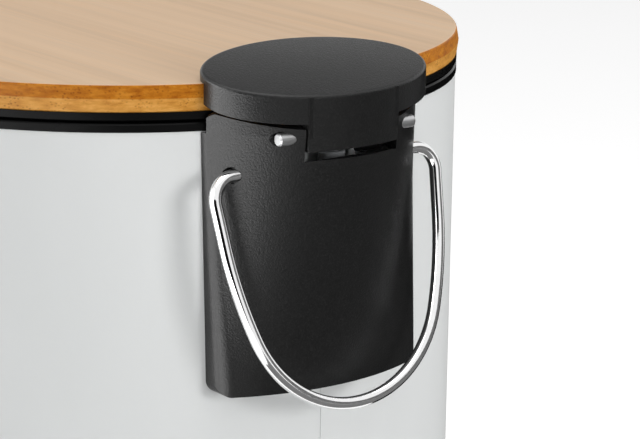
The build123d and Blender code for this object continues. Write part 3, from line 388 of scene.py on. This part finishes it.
def floor_paint():
    """Pale floor that the camera sees as white, with the object's shadow kept."""
    paint = Paint("pale_floor")
    cloud = paint.noise(paint.stretch(2), detail=2)
    paint.set(Base_Color=paint.shade(cloud, grey(0.80), grey(0.82)), Roughness=0.9)
    ray = paint.node("ShaderNodeLightPath").outputs
    seen = paint.math("MAXIMUM", paint.math("MAXIMUM", ray["Is Camera Ray"], ray["Is Glossy Ray"]),
                      ray["Is Transmission Ray"])
    paint.set(Emission_Color=grey(1.0), Emission_Strength=paint.math("MULTIPLY", seen, FLOOR_GLOW))
    return paint.material


# Meshes

def piece(name, mesh, body, node, material=None):
    """A finished piece at the origin, riding on its body in place of its CAD node.

    A mesh that a node tree made has its material already.
    """
    made = bpy.data.objects.new(name, mesh)
    scene.collection.objects.link(made)
    if material:
        mesh.materials.clear()
        mesh.materials.append(material)
    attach(made, body)
    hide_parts(node)


def smooth(mesh, angle):
    """Smooth shading, with edges sharper than the angle kept crisp."""
    mesh.shade_smooth()
    shape = bmesh.new()
    shape.from_mesh(mesh)
    for edge in shape.edges:
        edge.smooth = len(edge.link_faces) == 2 and edge.calc_face_angle(0.0) < math.radians(angle)
    shape.to_mesh(mesh)
    shape.free()


def joined(mesh, shape_work=None):
    """Joins a mesh's doubled points, then does further work on it while it is open."""
    shape = bmesh.new()
    shape.from_mesh(mesh)
    bmesh.ops.remove_doubles(shape, verts=shape.verts, dist=MERGE_DISTANCE)
    if shape_work:
        shape_work(shape)
    shape.to_mesh(mesh)
    shape.free()


def merged_copy(node, shape_work=None, bend_normal=None):
    """A CAD node's mesh with its doubled points joined and its curved faces' own normals kept."""
    mesh = frame["nodes"][node].data.copy()
    mesh.name = node + "_copy"
    kept = mesh.attributes.new("kept", "FLOAT_VECTOR", "CORNER")
    kept.data.foreach_set("vector", [part for normal in mesh.corner_normals for part in normal.vector])
    joined(mesh, shape_work)
    normals = [Vector(corner.vector).normalized() for corner in mesh.attributes["kept"].data]
    if bend_normal:
        points = [mesh.vertices[loop.vertex_index].co for loop in mesh.loops]
        normals = [bend_normal(point, normal) for point, normal in zip(points, normals)]
    for name in ("kept", "custom_normal"):
        if name in mesh.attributes:
            mesh.attributes.remove(mesh.attributes[name])
    mesh.shade_smooth()
    mesh.normals_split_custom_set(normals)
    return mesh


def solids_of(node):
    """The lowest and highest corner of each separate solid of a CAD node."""
    found = []

    def gather(shape):
        left = set(shape.verts)
        while left:
            group, reach = [], [left.pop()]
            while reach:
                vert = reach.pop()
                group.append(vert.co.copy())
                for edge in vert.link_edges:
                    other = edge.other_vert(vert)
                    if other in left:
                        left.remove(other)
                        reach.append(other)
            found.append([Vector(map(pick, zip(*group))) for pick in (min, max)])

    mesh = frame["nodes"][node].data.copy()
    joined(mesh, gather)
    bpy.data.meshes.remove(mesh)
    return found


def body_of_node(node):
    bodies = frame["record"]["behaviour"]["bodies"]
    return next(body for body, nodes in bodies.items() if node in nodes)


# Geometry Nodes

class Tree:
    """A geometry node tree under construction, with named inputs."""

    def __init__(self, name, **inputs):
        self.group = bpy.data.node_groups.new(name, "GeometryNodeTree")
        self.group.interface.new_socket("Geometry", in_out="INPUT", socket_type="NodeSocketGeometry")
        self.group.interface.new_socket("Geometry", in_out="OUTPUT", socket_type="NodeSocketGeometry")
        self.sockets = {}
        for label, kind in inputs.items():
            made = self.group.interface.new_socket(
                label.replace("_", " "), in_out="INPUT", socket_type="NodeSocket" + kind)
            self.sockets[label] = made.identifier
        self.entry = self.group.nodes.new("NodeGroupInput").outputs
        self.end = self.group.nodes.new("NodeGroupOutput").inputs["Geometry"]

    def node(self, kind, inputs=None, **settings):
        made = self.group.nodes.new(kind)
        for key, value in settings.items():
            setattr(made, key, value)
        for key, value in (inputs or {}).items():
            self.put(made.inputs[key], value)
        return made

    def put(self, socket, value):
        if isinstance(value, bpy.types.NodeSocket):
            self.group.links.new(value, socket)
        else:
            socket.default_value = value

    def value(self, label):
        return self.entry[label]

    def times(self, one, two):
        made = self.node("ShaderNodeMath", operation="MULTIPLY")
        self.put(made.inputs[0], one)
        self.put(made.inputs[1], two)
        return made.outputs[0]

    def triple(self, x, y, z):
        return self.node("ShaderNodeCombineXYZ", {"X": x, "Y": y, "Z": z}).outputs["Vector"]

    def moved(self, mesh, **changes):
        return self.node("GeometryNodeTransform", {"Geometry": mesh, **changes}).outputs["Geometry"]

    def join(self, *meshes):
        made = self.node("GeometryNodeJoinGeometry")
        for mesh in meshes:
            self.group.links.new(mesh, made.inputs["Geometry"])
        return made.outputs["Geometry"]

    def choose(self, which, no, yes):
        made = self.node("GeometryNodeSwitch", {"Switch": which}, input_type="GEOMETRY")
        self.put(made.inputs["False"], no)
        self.put(made.inputs["True"], yes)
        return made.outputs["Output"]

    def finish(self, mesh):
        """Realize Instances and Set Material close every tree."""
        real = self.node("GeometryNodeRealizeInstances", {"Geometry": mesh}).outputs["Geometry"]
        coated = self.node("GeometryNodeSetMaterial", {"Geometry": real, "Material": self.value("Material")})
        self.group.links.new(coated.outputs["Geometry"], self.end)

    def make(self, name, points, edges=(), **values):
        """The tree's result on the given points, as a plain mesh."""
        seed = bpy.data.meshes.new(name + "_points")
        seed.from_pydata(points, edges, [])
        carrier = bpy.data.objects.new(name + "_points", seed)
        scene.collection.objects.link(carrier)
        nodes = carrier.modifiers.new("nodes", "NODES")
        nodes.node_group = self.group
        for label, value in values.items():
            nodes[self.sockets[label]] = value
        evaluated = carrier.evaluated_get(bpy.context.evaluated_depsgraph_get())
        mesh = bpy.data.meshes.new_from_object(evaluated)
        mesh.name = name
        carrier.modifiers.remove(nodes)
        bpy.data.objects.remove(carrier)
        return mesh


def fastener_tree():
    """Domed screw or rivet on each point, its head facing one way, with a cross recess if wanted."""
    tree = Tree("domed_fastener", Head_Radius="Float", Head_Height="Float", Shank_Radius="Float",
                Length="Float", Cross="Bool", Both_Ends="Bool", Facing="Vector", Material="Material")
    wide, high, length = tree.value("Head Radius"), tree.value("Head Height"), tree.value("Length")
    ball = tree.node("GeometryNodeMeshUVSphere", {"Segments": 32, "Rings": 16, "Radius": 1.0})
    dome = tree.moved(ball.outputs["Mesh"], Scale=tree.triple(wide, wide, high))

    slot_size = tree.triple(tree.times(wide, RECESS_LENGTH), tree.times(wide, RECESS_WIDTH),
                            tree.times(high, RECESS_DEPTH))
    slot = tree.node("GeometryNodeMeshCube", {"Size": slot_size}).outputs["Mesh"]
    raised = tree.triple(0.0, 0.0, high)
    cutting = tree.node("GeometryNodeMeshBoolean", {"Mesh 1": dome}, operation="DIFFERENCE", solver="EXACT")
    for quarter in (0.0, math.pi / 2):
        cutter = tree.moved(slot, Translation=raised, Rotation=(0.0, 0.0, quarter))
        tree.group.links.new(cutter, cutting.inputs["Mesh 2"])
    head = tree.choose(tree.value("Cross"), dome, cutting.outputs["Mesh"])

    shank = tree.node("GeometryNodeMeshCylinder", {
        "Vertices": 24, "Radius": tree.value("Shank Radius"), "Depth": length,
    }).outputs["Mesh"]
    half_down = tree.triple(0.0, 0.0, tree.times(length, -0.5))
    single = tree.join(head, tree.moved(shank, Translation=half_down))
    other_head = tree.moved(dome, Translation=tree.triple(0.0, 0.0, tree.times(length, -1.0)))
    whole = tree.choose(tree.value("Both Ends"), single, tree.join(single, other_head))
    turn = tree.node("FunctionNodeAlignRotationToVector", {"Vector": tree.value("Facing")}, axis="Z")
    placed = tree.node("GeometryNodeInstanceOnPoints", {
        "Points": tree.value("Geometry"), "Instance": whole, "Rotation": turn.outputs["Rotation"],
    })
    tree.finish(placed.outputs["Instances"])
    return tree


def wire_tree():
    """Round wire along a chain of points, with closed ends."""
    tree = Tree("drawn_wire", Wire_Radius="Float", Sides="Int", Material="Material")
    path = tree.node("GeometryNodeMeshToCurve", {"Mesh": tree.value("Geometry")}).outputs["Curve"]
    ring = tree.node("GeometryNodeCurvePrimitiveCircle", {
        "Resolution": tree.value("Sides"), "Radius": tree.value("Wire Radius"),
    }).outputs["Curve"]
    body = tree.node("GeometryNodeCurveToMesh", {"Curve": path, "Profile Curve": ring, "Fill Caps": True})
    tree.finish(body.outputs["Mesh"])
    return tree


# Pieces

def bamboo_lid():
    """Both plies, each with its faces and its edge in their own finish."""
    face, edge = bamboo_faces(), bamboo_edge()
    for node in ("lid_top_ply", "lid_bottom_ply"):
        mesh = merged_copy(node)
        piece(node + "_bamboo", mesh, "lid", node, face)
        mesh.materials.append(edge)
        for polygon in mesh.polygons:
            middle = polygon.center
            on_edge = math.hypot(middle.x, middle.y) > BODY_RADIUS - LID_EDGE_ZONE
            polygon.material_index = int(on_edge and abs(polygon.normal.z) < LID_EDGE_STEEP)
        mesh.update()


def crowned_cap(material):
    """The hinge cap, its sloping oval top slightly domed as moulded."""
    centre = (CAP_LOW + CAP_HIGH) / 2
    centre.y = CAP_HIGH.y - CAP_HALF_Y
    cad_mesh = frame["nodes"]["hinge_cap"].data
    top = max(cad_mesh.polygons, key=lambda face: face.area * (face.normal.z > CAP_TOP_UPWARD))
    slope, level = top.normal.copy(), cad_mesh.vertices[top.vertices[0]].co.copy()

    def above(point):
        return slope.dot(point - level)

    def top_faces(shape):
        parallel = [face for face in shape.faces if face.normal.dot(slope) > CAP_TOP_PARALLEL]
        return [face for face in parallel if above(face.calc_center_median()) > -CAP_TOP_TOUCH]

    def crown(shape):
        for way, half, strips in CAP_CUTS:
            across = Vector(way)
            for cut in range(1, strips):
                place = centre + across * half * (2 * cut / strips - 1)
                faces = top_faces(shape)
                edges = {edge for face in faces for edge in face.edges}
                verts = {vert for face in faces for vert in face.verts}
                bmesh.ops.bisect_plane(shape, geom=[*faces, *edges, *verts], dist=CUT_DISTANCE,
                                       plane_co=place, plane_no=across)
        for vert in shape.verts:
            if above(vert.co) > -CAP_TOP_EDGE:
                away = vert.co - centre
                share = (away.x / CAP_HALF_X) ** 2 + (away.y / CAP_HALF_Y) ** 2
                vert.co -= slope * CAP_CROWN * share

    def lean(point, normal):
        facing_up = normal.dot(slope)
        if above(point) < -CAP_SHADED_EDGE or facing_up < CAP_SHADED_UPWARD:
            return normal
        away = point - centre
        outward = Vector((away.x / CAP_HALF_X ** 2, away.y / CAP_HALF_Y ** 2, 0))
        return (normal + 2 * CAP_CROWN * outward * facing_up).normalized()

    mesh = merged_copy("hinge_cap", crown, lean)
    piece("hinge_cap_crowned", mesh, "lid", "hinge_cap", material)


def housing(material):
    """The housing, with its lower edge as low as the photograph shows it."""
    def lengthen(shape):
        for vert in shape.verts:
            share = (HOUSING_BOTTOM + HOUSING_ZONE - vert.co.z) / HOUSING_ZONE
            vert.co.z -= HOUSING_LONGER * max(0.0, share)

    mesh = merged_copy("hinge_housing", lengthen)
    piece("hinge_housing_shell", mesh, "bin", "hinge_housing", material)


def handle_path():
    """Centre line of the carry handle: bottom bow, side bows, straight legs, bends and ends."""
    half = []

    def sweep(centre, radius, first, last, steps):
        for i in range(steps):
            turn = first + (last - first) * (i + 1) / steps
            half.append((centre[0] + radius * math.sin(turn), centre[1] - radius * math.cos(turn)))

    upright = math.pi / 2 - LEG_SPLAY
    sweep((0.0, BOTTOM_BOW - HANDLE_DROP), BOTTOM_BOW, 0.0, BOTTOM_TURN, BOTTOM_STEPS)
    x, y = half[-1]
    side_centre = (x - SIDE_BOW * math.sin(BOTTOM_TURN), y + SIDE_BOW * math.cos(BOTTOM_TURN))
    sweep(side_centre, SIDE_BOW, BOTTOM_TURN, upright, SIDE_STEPS)
    x, y = half[-1]
    leg = (-TOP_BEND * (1 + math.sin(LEG_SPLAY)) - y) / math.cos(LEG_SPLAY)
    x, y = x + leg * math.sin(LEG_SPLAY), y + leg * math.cos(LEG_SPLAY)
    half.append((x, y))
    bend_centre = (x - TOP_BEND * math.cos(LEG_SPLAY), y + TOP_BEND * math.sin(LEG_SPLAY))
    sweep(bend_centre, TOP_BEND, upright, math.pi, BEND_STEPS)
    half.append((WIRE_END, 0.0))

    mirrored = [(-x, y) for x, y in reversed(half)]
    along = Vector((0, -math.sin(HANDLE_LEAN), math.cos(HANDLE_LEAN)))
    return [HANDLE_PIVOT + Vector((x, 0, 0)) + along * y for x, y in mirrored + [(0.0, -HANDLE_DROP)] + half]


def carry_handle(tree, material):
    """The bail, bent from one length of wire."""
    points = handle_path()
    chain = [(i, i + 1) for i in range(len(points) - 1)]
    mesh = tree.make("carry_handle_wire", points, chain, Wire_Radius=WIRE_RADIUS, Sides=WIRE_SIDES,
                     Material=material)
    smooth(mesh, WIRE_CREASE)
    piece("carry_handle_bent", mesh, "handle", "carry_handle")


def fasteners(tree, material):
    """Domed heads with cross recesses on the screws, and plain domes on the rivets."""
    for node, facing, head_radius, head_height, shank_radius, cross, both_ends in FASTENERS:
        into, height = -facing, head_height * MM
        heads = 2 if both_ends else 1
        seats = []
        for low, high in solids_of(node):
            middle = (low + high) / 2
            seats.append(middle + into * (low.dot(into) + height - middle.dot(into)))
            length = (high - low).dot(into) - height * heads
        mesh = tree.make(node + "_heads", seats, Head_Radius=head_radius * MM, Head_Height=height,
                         Shank_Radius=shank_radius * MM, Length=length, Cross=cross, Both_Ends=both_ends,
                         Facing=facing, Material=material)
        smooth(mesh, FASTENER_CREASE)
        piece(node + "_domed", mesh, body_of_node(node), node)


def finished(material, slot, *nodes):
    """Carries CAD nodes over with smooth shading and their real finish."""
    for node in nodes:
        piece(node + "_finish", merged_copy(node), body_of_node(node), node, material)


# Studio

def sheet(name, half_x, half_y, placing, material):
    """A flat rectangle of the studio, put in place by a matrix."""
    mesh = bpy.data.meshes.new(name)
    corners = ((-half_x, -half_y), (half_x, -half_y), (half_x, half_y), (-half_x, half_y))
    mesh.from_pydata([placing @ Vector((x, y, 0.0)) for x, y in corners], [], [(0, 1, 2, 3)])
    mesh.materials.append(material)
    made = bpy.data.objects.new(name, mesh)
    scene.collection.objects.link(made)
    return made


def pale_floor():
    """A floor just under the feet, far wider than the picture."""
    floor = sheet("floor", FLOOR_HALF, FLOOR_HALF, Matrix.Translation((0, 0, FLOOR_LEVEL)), floor_paint())


def surround():
    """White for the camera, reflections and transmission, and a softer light for everything else."""
    world = bpy.data.worlds.new("surround")
    scene.world = world
    world.use_nodes = True
    nodes, links = world.node_tree.nodes, world.node_tree.links
    backdrop = nodes["Background"]
    backdrop.inputs["Color"].default_value = grey(1.0)
    ray = nodes.new("ShaderNodeLightPath").outputs
    seen = ray["Is Camera Ray"]
    for kind in ("Is Glossy Ray", "Is Transmission Ray"):
        either = nodes.new("ShaderNodeMath")
        either.operation = "MAXIMUM"
        links.new(seen, either.inputs[0])
        links.new(ray[kind], either.inputs[1])
        seen = either.outputs[0]
    level = nodes.new("ShaderNodeMapRange")
    level.inputs["To Min"].default_value = SURROUND
    links.new(seen, level.inputs["Value"])
    links.new(level.outputs["Result"], backdrop.inputs["Strength"])


def lamps():
    """Soft square lamps, all turned to the bin."""
    for name, place, side, watts, mirrored in LAMPS:
        data = bpy.data.lights.new(name, "AREA")
        data.size = side
        data.energy = watts
        lamp = bpy.data.objects.new(name, data)
        scene.collection.objects.link(lamp)
        lamp.location = place
        lamp.visible_glossy = mirrored
        lamp.rotation_euler = (LAMP_TARGET - Vector(place)).to_track_quat("-Z", "Y").to_euler()


def cards():
    """Flat cards that only reflections see, as a photographer places beside the table."""
    felts = {felt: card_felt(felt + "_card", *look) for felt, look in CARD_FELTS.items()}
    for name, place, facing, (width, depth), felt, degrees in CARDS:
        faced = Vector(facing).to_track_quat("Z", "Y").to_matrix().to_4x4()
        placing = Matrix.Translation(place) @ faced @ Matrix.Rotation(math.radians(degrees), 4, "Z")
        flat = sheet(name, width / 2, depth / 2, placing, felts[felt])
        flat.visible_camera = False
        flat.visible_diffuse = False
        flat.visible_transmission = False
        flat.visible_shadow = False


camera()
pale_floor()
surround()
lamps()
cards()

textured, zinc = spark_black(), plated_steel()
bamboo_lid()
crowned_cap(textured)
housing(textured)
carry_handle(wire_tree(), chrome())
fasteners(fastener_tree(), zinc)
finished(powder_coat(), "white_steel", "body_shell")
finished(gloss_black(), "gloss_black", "top_collar", "lid_rim")
finished(textured, "black_plastic", "base_ring", "pedal_pad")
finished(zinc, "steel", "hinge_pin", "damper_rod", "push_rod", "pedal_lever", "pedal_bracket",
         "pedal_pivot_pin", "base_plate", "housing_backplate", "handle_retainers", "bucket_handle")
finished(plain_moulding("grey_moulding", (0.30, 0.31, 0.32), 0.4), "grey_plastic",
         "damper_cylinder", "damper_cradle", "push_rod_shoe", "rod_guides")
finished(plain_moulding("bucket_moulding", (0.022, 0.022, 0.023), 0.38), "bucket_plastic", "inner_bucket")
finished(plain_moulding("soft_rubber", (0.018, 0.018, 0.018), 0.6), "rubber", "lid_bumpers", "non_slip_feet")
